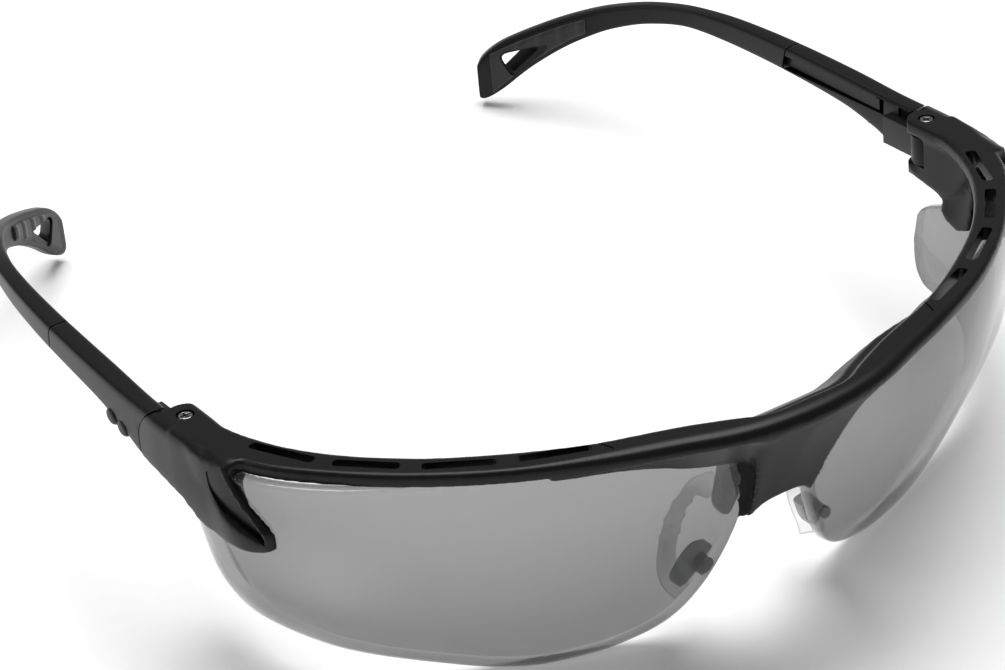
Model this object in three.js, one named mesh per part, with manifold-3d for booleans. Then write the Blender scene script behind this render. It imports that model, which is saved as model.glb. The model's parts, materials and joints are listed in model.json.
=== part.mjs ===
// Wrap-around half-frame safety glasses with length-adjustable folding temples.
//
// The whole model is laid out in the brow frame: X runs across the face, +Y runs back along the
// temples, Z = 0 is the flat top of the brow bar, and the two hinge screws stand at X = +-68, Y = 0.
// The last lines tilt that frame back so the lens and the temple tips stand on one level surface.
// Each paired piece is drawn once for the +X side and mirrored for the other.

import * as THREE from 'three';
import { LoftGeometry } from 'three/addons/geometries/LoftGeometry.js';
import { mergeVertices } from 'three/addons/utils/BufferGeometryUtils.js';
import Module from 'manifold-3d';

const wasm = await Module();
wasm.setup();

// ---------------------------------------------------------------- driving dimensions (mm)
const HINGE_X = 68;             // half the distance between the two hinge screws
const GAP = 0.3;                // clearance between pieces that touch
const REST_TILT = 9.5;          // degrees the brow leans back when the glasses stand on a table
const REST_HEIGHT = 35.8;       // hinge point above the table

const LENS_HALF_WIDTH = 71.6;   // the lens is a shell of one ellipsoid
const LENS_DEPTH = 41;
const LENS_HALF_HEIGHT = 66.4;
const LENS_CENTRE_Y = -7.4;
const LENS_WALL = 2.2;
const LENS_TOP = -2.4;          // lens top edge, under the brow plate

const PLATE = 2.0;              // thickness of the brow's top plate
const SLOT_WIDTH = 1.7;
const SLOT_PLAN = [[65.3, -13.6, 60.8, -23.2], [59.2, -25.5, 52.7, -32.6], [50.6, -34.7, 42.2, -40.6],
  [39.7, -42, 30.3, -46.2]];    // slot ends: X, Y, X, Y

const EAR = 2.2;                // thickness of each hinge ear
const EAR_RADIUS = 2.9;
const KNUCKLE_TOP = -2.2;       // the pocket between the two ears
const KNUCKLE_BOTTOM = -7.6;
const ENDPIECE_BOTTOM = -9.9;
const KNUCKLE_RADIUS = 2.6;
const SCREW_RADIUS = 0.8;
const SCREW_HEAD_RADIUS = 1.3;
const SCREW_HEAD = 0.8;

const SLEEVE_FRONT = 8.2;       // the sleeve meets the endpiece here
const SLEEVE_REAR = 36;         // the arm comes out of the sleeve here
const TONGUE_FRONT = 12.5;
const TONGUE_WIDE = 1.5;        // across, in X
const TONGUE_HIGH = 2.5;
const NOTCH_PITCH = 4;          // length detents
const TONGUE_X = 69.35;
const TONGUE_Z = -1.9;

const LATCH_Y = 15;             // the two lobes of the length catch, along the sleeve's lower edge
const LOBE_RADIUS = 1.5;
const LOBE_STEP = 1.6;          // each lobe stands this far from the middle of the catch
const LOBE_Z = [-7.5, -6.9];    // front lobe, rear lobe
const LATCH_IN = 69.8;          // inner and outer faces of the catch
const LATCH_OUT = 72;
const LATCH_TRAVEL = 0.8;

const INSERT_RADIUS = 1.45;     // threaded insert in the lower hinge ear
const INSERT_HIGH = 1.6;

const PEG_X = 10.9;             // oval peg that holds each pad clip through the lens
const PEG_Z = -29.2;
const PEG_LONG = 1.5;
const PEG_SHORT = 0.9;
const PEG_LEAN = 27;            // degrees, along the nose edge of the lens

// ---------------------------------------------------------------- solids
function solid(geometry) {
  const bare = new THREE.BufferGeometry();
  bare.setAttribute('position', geometry.attributes.position);
  bare.setIndex(geometry.index);
  const merged = mergeVertices(bare, 1e-4);
  const triangles = [];
  const index = merged.index.array;
  for (let i = 0; i < index.length; i += 3) {
    const [a, b, c] = [index[i], index[i + 1], index[i + 2]];
    if (a !== b && b !== c && c !== a) triangles.push(a, b, c);
  }
  const make = (order) => new wasm.Manifold(new wasm.Mesh({
    numProp: 3, vertProperties: merged.attributes.position.array, triVerts: new Uint32Array(order),
  }));
  const body = make(triangles);
  if (body.volume() > 0) return body;
  const turned = [];
  for (let i = 0; i < triangles.length; i += 3) turned.push(triangles[i], triangles[i + 2], triangles[i + 1]);
  return make(turned);
}

function surface(body) {
  const mesh = body.getMesh();
  const geometry = new THREE.BufferGeometry();
  geometry.setAttribute('position', new THREE.BufferAttribute(new Float32Array(mesh.vertProperties), 3));
  geometry.setIndex(new THREE.BufferAttribute(new Uint32Array(mesh.triVerts), 1));
  geometry.computeVertexNormals();
  return geometry;
}

function join(...bodies) {
  return bodies.reduce((whole, body) => whole.add(body));
}

function cut(body, ...tools) {
  return tools.reduce((whole, tool) => whole.subtract(tool), body);
}

function otherSide(body) {
  const geometry = surface(body);
  geometry.scale(-1, 1, 1);
  const index = geometry.index.array;
  for (let i = 0; i < index.length; i += 3) [index[i], index[i + 1]] = [index[i + 1], index[i]];
  return solid(geometry);
}

function bothSides(body) {
  return body.add(otherSide(body));
}

function shapeOf(points) {
  const corners = points.map(([a, b]) => new THREE.Vector2(a, b));
  return new THREE.Shape(corners.filter((p, i) => p.distanceTo(corners.at(i - 1)) > 0.01));
}

// The largest of the bodies that a cut leaves, without the loose crumbs
function main(body) {
  return body.decompose().reduce((a, b) => (a.volume() > b.volume() ? a : b));
}

// A smooth closed or open outline through a few points
function smooth(points, divisions) {
  return new THREE.SplineCurve(points.map(([a, b]) => new THREE.Vector2(a, b))).getPoints(divisions);
}

// A polygon with every corner rounded off from `reach` before it to `reach` after it
function rounded(points, reach) {
  const shape = new THREE.Shape();
  const corners = points.map(([a, b]) => new THREE.Vector2(a, b));
  corners.forEach((corner, i) => {
    const before = corners.at(i - 1).clone().sub(corner).setLength(reach).add(corner);
    const after = corners[(i + 1) % corners.length].clone().sub(corner).setLength(reach).add(corner);
    if (i === 0) shape.moveTo(before.x, before.y);
    else shape.lineTo(before.x, before.y);
    shape.quadraticCurveTo(corner.x, corner.y, after.x, after.y);
  });
  shape.closePath();
  return shape;
}

function extrude(shape, depth, curveSegments = 10) {
  return new THREE.ExtrudeGeometry(shape, { depth, bevelEnabled: false, curveSegments });
}

// Plan outline (X, Y) standing between two heights
function standing(shape, bottom, top) {
  return solid(extrude(shape, top - bottom).translate(0, 0, bottom));
}

// Front outline (X, Z) running from y0 back to y1
function frontal(shape, y0, y1) {
  return solid(extrude(shape, y1 - y0).rotateX(Math.PI / 2).translate(0, y1, 0));
}

// Side outline (Y, Z) running from x0 out to x1
function lateral(shape, x0, x1) {
  const turn = new THREE.Matrix4().makeBasis(new THREE.Vector3(0, 1, 0), new THREE.Vector3(0, 0, 1),
    new THREE.Vector3(1, 0, 0));
  return solid(extrude(shape, x1 - x0).applyMatrix4(turn).translate(x0, 0, 0));
}

function upright(x, y, radius, bottom, top, segments = 28) {
  const geometry = new THREE.CylinderGeometry(radius, radius, top - bottom, segments);
  return solid(geometry.rotateX(Math.PI / 2).translate(x, y, (top + bottom) / 2));
}

function box(x0, x1, y0, y1, z0, z1) {
  const geometry = new THREE.BoxGeometry(x1 - x0, y1 - y0, z1 - z0);
  return solid(geometry.translate((x0 + x1) / 2, (y0 + y1) / 2, (z0 + z1) / 2));
}

// Everything under the table that the glasses stand on
function table() {
  const slab = new THREE.BoxGeometry(400, 400, 40).translate(0, 0, -REST_HEIGHT - 20);
  return solid(slab.rotateX(THREE.MathUtils.degToRad(REST_TILT)));
}

function loft(sections) {
  return solid(new LoftGeometry(sections, { capStart: true, capEnd: true }));
}

// A value read off a smooth curve through [place, value] pairs
function ramp(pairs) {
  return (place) => {
    const last = pairs.length - 1;
    let i = 0;
    while (i < last - 1 && place > pairs[i + 1][0]) i += 1;
    const [p0, v0] = pairs[i];
    const [p1, v1] = pairs[i + 1];
    const slope = (k) => {
      const a = pairs[Math.max(k - 1, 0)];
      const b = pairs[Math.min(k + 1, last)];
      return (b[1] - a[1]) / (b[0] - a[0]);
    };
    const t = Math.min(Math.max((place - p0) / (p1 - p0), 0), 1);
    const [m0, m1] = [slope(i) * (p1 - p0), slope(i + 1) * (p1 - p0)];
    return (2 * t ** 3 - 3 * t ** 2 + 1) * v0 + (t ** 3 - 2 * t ** 2 + t) * m0
      + (-2 * t ** 3 + 3 * t ** 2) * v1 + (t ** 3 - t ** 2) * m1;
  };
}

// ---------------------------------------------------------------- lens
function ellipsoid(offset) {
  const ball = new THREE.SphereGeometry(1, 80, 56);
  ball.rotateX(Math.PI / 2);
  ball.scale(LENS_HALF_WIDTH + offset, LENS_DEPTH + offset, LENS_HALF_HEIGHT + offset);
  return solid(ball.translate(0, LENS_CENTRE_Y, 0));
}

function lensFront(x, z, offset = 0) {
  const across = x / (LENS_HALF_WIDTH + offset);
  const up = z / (LENS_HALF_HEIGHT + offset);
  return LENS_CENTRE_Y - (LENS_DEPTH + offset) * Math.sqrt(Math.max(1 - across ** 2 - up ** 2, 0));
}

function lensShell(inside, outside) {
  return ellipsoid(outside).subtract(ellipsoid(inside));
}

// The lens outline: a frontal one for the two lobes and the nose, and a lateral one for the ends
function lensOutline(grow) {
  const lobe = smooth([[5.3, -18], [6.4, -21.5], [8.9, -29], [11.4, -33.9], [13.3, -37], [16, -38.9],
    [20.5, -40.6], [26.5, -41.7], [34, -41.4], [43, -39.1], [52.3, -35.6], [60, -31.6], [66.5, -28.6]], 44);
  const points = [[0, -6.4 + grow], [8, -5.6 + grow], [13, -4.6 + grow], [20, -3.2 + grow], [25, LENS_TOP + grow],
    [80, LENS_TOP + grow], [80, -28.3 - grow]];
  for (const p of lobe.reverse()) points.push([p.x - grow * 0.4, p.y - grow]);
  points.push([4.2 - grow, -15.6], [0, -14.8 - grow]);
  const half = frontal(shapeOf(points), -60, 12);
  const rear = smooth([[-14.5, LENS_TOP + grow], [-12.6, -6], [-9.5, -11.2], [-5.5, -14.4], [0.9, -16.2],
    [1.9, -19.5], [1.2, -24.5], [-1.5, -28.2], [-6, -32]], 36);
  const ends = [[-60, 0], [-15.5, 0]];
  for (const p of rear) ends.push([p.x + grow, p.y + grow * 0.5]);
  ends.push([-6, -50], [-60, -50]);
  return bothSides(half).intersect(lateral(shapeOf(ends), -90, 90));
}

function lensBody(grow = 0) {
  return lensShell(-LENS_WALL - grow, grow).intersect(lensOutline(grow));
}

// The lens as moulded, with an oval hole for each clip peg and flats where its lobes stand
function lensWithHoles() {
  return cut(lensBody(), bothSides(pegColumn(GAP)), table());
}

// ---------------------------------------------------------------- front frame
// Rails of the brow bar from the middle out to the ear: places along it run from 0 to 1
const browRear = new THREE.SplineCurve([[-0.3, -55], [5, -55], [8, -54.4], [13.4, -51.6], [21, -48.3], [29.8, -44.9],
  [39.6, -39.3], [49.4, -32.1], [57, -24], [61.8, -16.5], [64.8, -8.4], [65.6, -2]].map(([x, y]) => new THREE.Vector2(x, y)));
const browRidge = new THREE.SplineCurve([[-0.3, -58.9], [11, -57.6], [21.5, -53.6], [32, -49.2], [42.5, -43.7],
  [53, -35.7], [61.8, -26.6], [67.5, -18.6], [71, -9], [72.2, -2]].map(([x, y]) => new THREE.Vector2(x, y)));
const lipLean = ramp([[0, 8], [0.11, 6.3], [0.22, 3.9], [0.33, 2.2], [0.385, 1.2], [0.4, 0.3], [1, 0.3]]);
const lipDrop = ramp([[0, 12], [0.11, 9.2], [0.22, 5.8], [0.33, 3.6], [0.385, 3.4], [0.4, 2.2], [0.42, 2.2], [1, 2.2]]);

function browSection(place) {
  const rear = browRear.getPoint(place);
  const ridge = browRidge.getPoint(place);
  const inward = new THREE.Vector2().subVectors(rear, ridge).normalize();
  const lip = ridge.clone().addScaledVector(inward, lipLean(place));
  const edge = 0.45;
  const drop = lipDrop(place);
  const reach = Math.min(ridge.x, LENS_HALF_WIDTH - 3);
  const at = (p, z) => new THREE.Vector3(p.x, p.y, z);
  const behindLip = (z) => Math.max(Math.min(lensFront(reach, z, -LENS_WALL / 2), rear.y - GAP), lip.y + 0.6);
  const core = (z) => new THREE.Vector3(reach, behindLip(z), z);
  return [
    at(rear, -edge),
    at(rear.clone().addScaledVector(inward, -edge), 0),
    at(ridge.clone().addScaledVector(inward, edge * 1.4), 0),
    at(ridge, -edge * 1.2),
    at(lip, -drop + edge),
    at(lip.clone().addScaledVector(inward, edge), -drop),
    core(-drop),
    at(rear, -PLATE),
  ];
}

function browBar() {
  const steps = 34;
  const sections = [];
  for (let i = 0; i <= steps; i += 1) sections.push(browSection(i / steps));
  return bothSides(loft(sections));
}

// The bridge: a flared tongue that comes down between the two nose corners
function bridge() {
  const flare = smooth([[23, -5.5], [15, -8.6], [10.4, -11], [8, -14], [7.2, -17.6], [6.3, -21]], 18);
  const points = [[0, -0.4], [24, -0.4]];
  for (const p of flare) points.push([p.x, p.y]);
  points.push([5.2, -21.4], [3.4, -20], [0, -18.8]);
  const front = bothSides(frontal(shapeOf(points), -64, -40));
  const profile = [];
  for (const p of smooth([[-58.8, -0.6], [-58.2, -3], [-56, -8], [-52.8, -14], [-49.4, -22]], 14)) profile.push([p.x, p.y]);
  profile.push([-46.3, -22], [-47.6, -14], [-49.6, -6], [-53.2, -0.4]);
  const side = lateral(shapeOf(profile), -30, 30);
  return front.intersect(side).intersect(browSweep());
}

// Keeps the bridge behind the curve of the ridge line
function browSweep() {
  const points = [];
  for (let i = 0; i <= 10; i += 1) {
    const p = browRidge.getPoint(i / 30);
    points.push([p.x, p.y]);
  }
  points.push([32, -40], [0, -40]);
  return bothSides(standing(shapeOf(points), -40, 1));
}

// The endpiece block behind the end of the brow, with its outer wall
function endpiece() {
  const plan = [[66, -13.5], [65.2, -8], [65.2, -3], [65.2, 0.2], [66.6, 2.5], [69.4, 2.6], [70.6, 3], [70.6, 8.8],
    [71.9, 8.8], [72.25, 2], [72.1, -4], [70.9, -9.5], [69.3, -14.5]];
  const block = standing(shapeOf(plan), -12.5, 0);
  const side = [[-15, 0], [2.2, 0]];
  for (const p of smooth([[2.2, 0], [5.4, -1.6], [7.4, -4.2], [7.9, -7], [7.2, ENDPIECE_BOTTOM]], 10)) side.push([p.x, p.y]);
  side.push([-1.5, -11], [-7, -12.2], [-12, -9], [-15, -3.4]);
  return block.intersect(lateral(shapeOf(side), 60, 76));
}

// The claw that reaches forward over the end of the lens, with a shallow recess in its face
function claw() {
  const plan = [[50, 2], [72.25, 2], [72.25, -2], [72.1, -5], [71.75, -9], [71.5, -11.2], [71.2, -13.9], [70.5, -16.3],
    [69.1, -19.3], [68.5, -20.5], [67.4, -22.4], [50, -22.4]];
  const side = [[-3, -1.6], [-3, -9], [-5.6, -11.9], [-5.2, -13.2], [-4.4, -15.2]];
  for (const p of smooth([[-8, -15.6], [-12, -15.4], [-16, -14.8], [-19.4, -14.2], [-21, -13.4], [-21.3, -12.3],
    [-21, -11.1], [-20.2, -9.4], [-18.6, -6.5], [-17.2, -4], [-15.8, -1.6]], 30)) side.push([p.x, p.y]);
  const blade = standing(shapeOf(plan), -17, 0).intersect(lateral(shapeOf(side), 60, 80));
  const recess = lateral(shapeOf([[-15.9, -3.4], [-11.4, -3.4], [-12, -5], [-14, -8.2], [-16.4, -10.7], [-19.2, -12.6],
    [-20.3, -11.2], [-18.4, -7.6]]), 60, 80);
  return cut(blade, ellipsoid(GAP), recess.subtract(ellipsoid(1)));
}

// A lug that caps the rear upper corner of the lens
function cornerLug() {
  return lensShell(-1.9, 1.1).intersect(lateral(shapeOf([[-9.5, -11.6], [-5.4, -14], [1, -15.75], [0.9, -14.6],
    [-4, -12.6], [-6, -10.8]]), 60, 80));
}

function slot([x0, y0, x1, y1]) {
  const along = new THREE.Vector2(x1 - x0, y1 - y0);
  const heading = Math.atan2(along.y, along.x);
  const shape = new THREE.Shape();
  const r = SLOT_WIDTH / 2;
  shape.absarc(x0 + r * Math.cos(heading), y0 + r * Math.sin(heading), r, heading + Math.PI / 2, heading + 1.5 * Math.PI);
  shape.absarc(x1 - r * Math.cos(heading), y1 - r * Math.sin(heading), r, heading - Math.PI / 2, heading + Math.PI / 2);
  return standing(shape, -12, 2);
}

function hingePocket() {
  const room = 0.35;
  const round = upright(HINGE_X, 0, KNUCKLE_RADIUS + room, KNUCKLE_BOTTOM, KNUCKLE_TOP);
  const behind = box(60, 70.6, 0, 12, KNUCKLE_BOTTOM, KNUCKLE_TOP);
  return round.add(behind).add(box(60, HINGE_X, -KNUCKLE_RADIUS - room, 4, KNUCKLE_BOTTOM, KNUCKLE_TOP));
}

function frameFront() {
  const half = join(endpiece(), claw(), cornerLug(), upright(HINGE_X, 0, EAR_RADIUS, ENDPIECE_BOTTOM, 0, 36));
  const whole = join(browBar(), bridge(), bothSides(half));
  const tools = [lensBody(GAP)];
  for (const ends of SLOT_PLAN) tools.push(bothSides(slot(ends)));
  tools.push(bothSides(hingePocket()));
  tools.push(bothSides(upright(HINGE_X, 0, SCREW_RADIUS + GAP, -20, 4)));
  tools.push(bothSides(upright(HINGE_X, 0, SCREW_HEAD_RADIUS + GAP, -SCREW_HEAD - GAP, 4)));
  tools.push(bothSides(upright(HINGE_X, 0, INSERT_RADIUS + GAP, -20, ENDPIECE_BOTTOM + INSERT_HIGH)));
  return main(cut(whole, ...tools));
}

// ---------------------------------------------------------------- hinge hardware
function hingeScrew() {
  const head = upright(HINGE_X, 0, SCREW_HEAD_RADIUS, -SCREW_HEAD, 0.05);
  const shank = upright(HINGE_X, 0, SCREW_RADIUS, ENDPIECE_BOTTOM + 0.3, -SCREW_HEAD + 0.01, 20);
  const bar = (a, b) => box(HINGE_X - a, HINGE_X + a, -b, b, -0.45, 1);
  return cut(head.add(shank), bar(0.85, 0.17), bar(0.17, 0.85));
}

function hingeInsert() {
  const ring = upright(HINGE_X, 0, INSERT_RADIUS, ENDPIECE_BOTTOM + 0.15, ENDPIECE_BOTTOM + INSERT_HIGH - GAP, 24);
  return ring.subtract(upright(HINGE_X, 0, SCREW_RADIUS + 0.05, -20, 0, 20));
}

// ---------------------------------------------------------------- temples
const templeX = ramp([[4, 70.3], [8, 70.2], [22, 69.9], [36, 69.35], [48, 68.4], [58, 66.9], [65, 64.9], [71, 62.3],
  [76.5, 59.2], [81, 55.4], [85, 51.2], [89, 46.7], [92.2, 42.8]]);
const templeTop = ramp([[4, -0.4], [8, -0.4], [22, 0.2], [36, 0.6], [50, 0.8], [60, 0.5], [68, -0.3], [75, -1.8],
  [81, -3.9], [86, -6.4], [90, -8.9], [92.2, -10.5]]);
const templeBottom = ramp([[4, -9.6], [8, -9.2], [14, -7], [22, -5.2], [36, -4], [50, -3.2], [60, -2.8], [68, -3.8],
  [75, -5.9], [81, -9.1], [86, -13.3], [90, -18], [92.2, -21.2]]);
const templeThick = ramp([[4, 3.4], [20, 3.6], [36, 3.4], [60, 2.8], [80, 2.7], [92.2, 2.5]]);

// A section of the temple square to its plan curve; corners are cut as small chamfers
function templeSection(y, { inset = 0, squash = 0 } = {}) {
  const slope = (templeX(y + 0.2) - templeX(y - 0.2)) / 0.4;
  const length = Math.hypot(1, slope);
  const out = new THREE.Vector2(1 / length, -slope / length);
  const half = templeThick(y) / 2 - inset;
  const [top, bottom] = [templeTop(y) - inset - squash, templeBottom(y) + inset + squash];
  const soft = Math.min(0.9, half * 0.5);
  const at = (across, z) => new THREE.Vector3(templeX(y) + out.x * across, y + out.y * across, z);
  return [
    at(half, bottom + soft), at(half, top - soft), at(half - soft, top), at(-half + soft, top),
    at(-half, top - soft), at(-half, bottom + soft), at(-half + soft, bottom), at(half - soft, bottom),
  ];
}

function templeRun(from, to, steps) {
  const sections = [];
  for (let i = 0; i <= steps; i += 1) sections.push(templeSection(from + (to - from) * (i / steps)));
  return loft(sections.reverse());
}

// The sleeve: knuckle, neck and a channel, open to the inside, that the arm's tongue slides in
function templeSleeve() {
  const run = templeRun(4, SLEEVE_REAR + 3, 14);
  const seam = [[SLEEVE_FRONT - 5.4, 1]];
  for (const p of smooth([[2.7, 1], [5.9, -1.7], [7.8, -4.2], [8.3, -7], [7.5, -11]], 10)) seam.push([p.x, p.y]);
  seam.push([50, -11], [50, -7], [SLEEVE_REAR + 1.6, -7], [SLEEVE_REAR - 1.4, 2]);
  const shell = run.intersect(lateral(shapeOf(seam), 60, 80));
  const neckCut = box(60, 80, -10, 8.8, -20, KNUCKLE_BOTTOM + GAP).add(box(60, 80, -10, 3.4, KNUCKLE_TOP - GAP, 5));
  const outerCut = box(70.3, 80, -10, 8.4, -20, -1.2);
  const knuckle = upright(HINGE_X, 0, KNUCKLE_RADIUS, KNUCKLE_BOTTOM + GAP, KNUCKLE_TOP - GAP);
  const neck = box(66.6, 70.25, 0, 9.5, KNUCKLE_BOTTOM + GAP, KNUCKLE_TOP - GAP);
  const body = join(cut(shell, neckCut, outerCut), knuckle, neck);
  const channel = box(60, TONGUE_X + TONGUE_WIDE / 2 + GAP, TONGUE_FRONT - 1.2, 60,
    TONGUE_Z - TONGUE_HIGH / 2 - GAP, TONGUE_Z + TONGUE_HIGH / 2 + GAP);
  return cut(body, channel, latchRoom(), upright(HINGE_X, 0, SCREW_RADIUS + 0.05, -20, 5, 20));
}

// The rear arm: tongue with detent notches, curved run, ear hook and the lanyard hole in its end
function templeArm() {
  const run = templeRun(30, 92.2, 30);
  const cover = [[SLEEVE_REAR - 1.4 + GAP, 2], [SLEEVE_REAR + 1.6 + GAP, -7], [60, -30], [110, -30], [110, 2]];
  const rear = run.intersect(lateral(shapeOf(cover), 20, 90));
  const tongue = box(TONGUE_X - TONGUE_WIDE / 2, TONGUE_X + TONGUE_WIDE / 2, TONGUE_FRONT, SLEEVE_REAR + 4,
    TONGUE_Z - TONGUE_HIGH / 2, TONGUE_Z + TONGUE_HIGH / 2);
  const notches = [];
  for (let i = 0; i < 4; i += 1) {
    const y = 17 + i * NOTCH_PITCH;
    notches.push(lateral(shapeOf([[y - 1.3, TONGUE_Z - 2], [y + 1.3, TONGUE_Z - 2], [y, TONGUE_Z - 0.2]]), 60, 80));
  }
  const body = cut(rear.add(tongue), ...notches);
  return cut(body, tipRounding(), lanyardHole(0), table());
}

// Trims the square end of the ear hook to a rounded one
function tipRounding() {
  const corner = [];
  for (const p of smooth([[40, -12.6], [41.6, -11.4], [43.6, -10.4]], 6)) corner.push([p.x, p.y]);
  corner.push([40, -6]);
  const lower = [];
  for (const p of smooth([[40, -17.9], [41.4, -19.8], [43.6, -20.9]], 6)) lower.push([p.x, p.y]);
  lower.push([43.6, -27], [40, -27]);
  return frontal(shapeOf(corner), 70, 110).add(frontal(shapeOf(lower), 70, 110));
}

// A rounded triangle through the ear hook, seen from the front
function lanyardHole(grow) {
  const corners = [[46.3 - grow * 0.5, -14.6 - grow], [50.6 + grow * 2, -9.2 + grow * 0.5], [44.8 - grow, -10.8 + grow]];
  return frontal(rounded(corners, 1.2), 70, 110);
}

// A soft pad on the inner face of each ear hook, with three grip ridges
function tipGrip() {
  const sections = [];
  const from = 80;
  const to = 91.2;
  for (let i = 0; i <= 12; i += 1) {
    const y = from + (to - from) * (i / 12);
    const slope = (templeX(y + 0.2) - templeX(y - 0.2)) / 0.4;
    const length = Math.hypot(1, slope);
    const face = templeThick(y) / 2 + GAP;
    const at = (across, z) => new THREE.Vector3(templeX(y) - across / length, y + (across * slope) / length, z);
    const [top, bottom] = [templeTop(y) - 1.1, templeBottom(y) + 1.1];
    sections.push([at(face, bottom), at(face, top), at(face + 0.8, top - 0.4), at(face + 0.8, bottom + 0.4)]);
  }
  return loft(sections.reverse()).subtract(lanyardHole(0.6));
}

// A round bar across the sleeve at one lobe of the catch
function lobe(i, radius, from, to, lift = 0) {
  const side = i === 0 ? -LOBE_STEP : LOBE_STEP;
  const bar = new THREE.CylinderGeometry(radius, radius, to - from, 20).rotateZ(Math.PI / 2);
  return solid(bar.translate((from + to) / 2, LATCH_Y + side, LOBE_Z[i] + lift));
}

// The two-lobed catch under the sleeve, which drops into a notch of the tongue
function lengthLatch() {
  const stem = box(LATCH_IN, LATCH_OUT - GAP, LATCH_Y - LOBE_STEP, LATCH_Y + LOBE_STEP, LOBE_Z[0] - 0.7, LOBE_Z[0] + 1);
  return join(lobe(0, LOBE_RADIUS, LATCH_IN, LATCH_OUT), lobe(1, LOBE_RADIUS, LATCH_IN, LATCH_OUT), stem);
}

// What the sleeve gives up so the catch can be pressed in
function latchRoom() {
  const radius = LOBE_RADIUS + GAP;
  const front = join(lobe(0, radius, LATCH_IN - GAP, 80), lobe(0, radius, LATCH_IN - GAP, 80, LATCH_TRAVEL));
  const rear = join(lobe(1, radius, LATCH_IN - GAP, 80), lobe(1, radius, LATCH_IN - GAP, 80, LATCH_TRAVEL));
  const rise = (i, y) => box(LATCH_IN - GAP, 80, y - radius, y + radius, -12, LOBE_Z[i] + LATCH_TRAVEL);
  const between = box(LATCH_IN - GAP, 80, LATCH_Y - LOBE_STEP, LATCH_Y + LOBE_STEP, -12, LOBE_Z[1] + radius);
  return join(front, rear, rise(0, LATCH_Y - LOBE_STEP), rise(1, LATCH_Y + LOBE_STEP), between);
}

// ---------------------------------------------------------------- nose pieces
// The bracket behind the bridge holds the upper ends of the two soft pads
function noseBracket() {
  const points = [[0, -9], [4.6, -9.4], [7.2, -12], [7.6, -20.4], [5.2, -22.6], [4.3, -19.4], [3, -14.6], [0, -13.6]];
  const plate = bothSides(frontal(shapeOf(points), -60, -30));
  return plate.intersect(lensShell(-LENS_WALL - GAP - 1.6, -LENS_WALL - GAP));
}

const PAD_PATH = [[8.2, -40.4, -18.4], [9.8, -38.6, -19.2], [11.1, -37, -22.4], [12, -36.3, -26.3],
  [12.6, -35.9, -30], [12.9, -36.2, -32.8]];

function nosePad() {
  const path = new THREE.CatmullRomCurve3(PAD_PATH.map(([x, y, z]) => new THREE.Vector3(x, y, z)));
  const sections = [];
  const steps = 18;
  for (let i = 0; i <= steps; i += 1) {
    const t = i / steps;
    const centre = path.getPoint(t);
    const along = path.getTangent(t);
    const across = new THREE.Vector3(-0.35, -0.9, 0.25).cross(along).normalize();
    const face = new THREE.Vector3().crossVectors(along, across).normalize();
    const [wide, thick] = [1.7 + 0.5 * Math.sin(Math.PI * t), 0.75];
    const ring = [];
    for (let k = 0; k < 10; k += 1) {
      const angle = (k / 10) * 2 * Math.PI;
      ring.push(centre.clone().addScaledVector(across, wide * Math.cos(angle)).addScaledVector(face, thick * Math.sin(angle)));
    }
    sections.push(ring);
  }
  return loft(sections);
}

// The block that clips the lower end of each pad to the nose corner of the lens
function padClip() {
  const outline = [[8.8, -27.2], [11.6, -26.8], [13.6, -29.3], [14.4, -32.8], [12.9, -34.4], [12, -33.6], [10.6, -31.4]];
  const block = frontal(shapeOf(outline), -60, -20).intersect(lensShell(-LENS_WALL - GAP - 2.2, -LENS_WALL - GAP));
  return block;
}

// An oval column front to back through the nose corner of the lens
function pegColumn(grow) {
  const oval = new THREE.Shape();
  oval.absellipse(PEG_X, PEG_Z, PEG_SHORT + grow, PEG_LONG + grow, 0, 2 * Math.PI, false,
    THREE.MathUtils.degToRad(PEG_LEAN));
  return frontal(oval, -50, -36);
}

function clipPeg() {
  return lensShell(-LENS_WALL, 0.35).intersect(pegColumn(0));
}

// ---------------------------------------------------------------- the assembly
const nylon = { color: 0x1d1d1d, roughness: 0.45, metalness: 0 };
const looks = {
  frame: nylon,
  lens: { color: 0x8f9190, roughness: 0.08, metalness: 0.1, transparent: true, opacity: 0.6 },
  steel: { color: 0xb9bbbd, roughness: 0.3, metalness: 1 },
  brass: { color: 0xb08d4a, roughness: 0.35, metalness: 1 },
  smoke: { color: 0x3b3b3c, roughness: 0.35, metalness: 0 },
  silicone: { color: 0xa3a6a6, roughness: 0.4, metalness: 0 },
  softTouch: { color: 0x3a3a3d, roughness: 0.8, metalness: 0 },
};

const glasses = new THREE.Group();
glasses.rotation.x = -THREE.MathUtils.degToRad(REST_TILT);

function piece(name, body, look) {
  const mesh = new THREE.Mesh(surface(body), new THREE.MeshStandardMaterial(looks[look]));
  mesh.name = name;
  glasses.add(mesh);
}

function pair(name, body, look) {
  piece(`${name}_left`, body, look);
  piece(`${name}_right`, otherSide(body), look);
}

piece('frame_front', frameFront(), 'frame');
piece('lens', lensWithHoles(), 'lens');
piece('nose_bracket', noseBracket(), 'smoke');
pair('nose_pad', nosePad(), 'silicone');
pair('pad_clip', padClip(), 'smoke');
pair('clip_peg', clipPeg(), 'smoke');
pair('hinge_screw', hingeScrew(), 'steel');
pair('hinge_insert', hingeInsert(), 'brass');
pair('temple_sleeve', templeSleeve(), 'frame');
pair('temple_arm', templeArm(), 'frame');
pair('tip_grip', tipGrip(), 'softTouch');
pair('length_latch', lengthLatch(), 'frame');

// The origin is on the table, under the middle of the glasses
const reach = new THREE.Box3().setFromObject(glasses, true);
glasses.position.set(0, -(reach.min.y + reach.max.y) / 2, REST_HEIGHT);

const stand = new THREE.Group();
stand.add(glasses);
export default stand;
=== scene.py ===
"""Wrap-around half-frame safety glasses, finished around the packed CAD frame.

Pieces are modelled in millimetres in the brow frame: X runs across the face, +Y back along the temples,
Z = 0 is the flat top of the brow and the hinge screws stand at X = +-HINGE_X, Y = 0.
The last step of each piece turns it into the row frame, in metres.
"""

import json
import math

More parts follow.
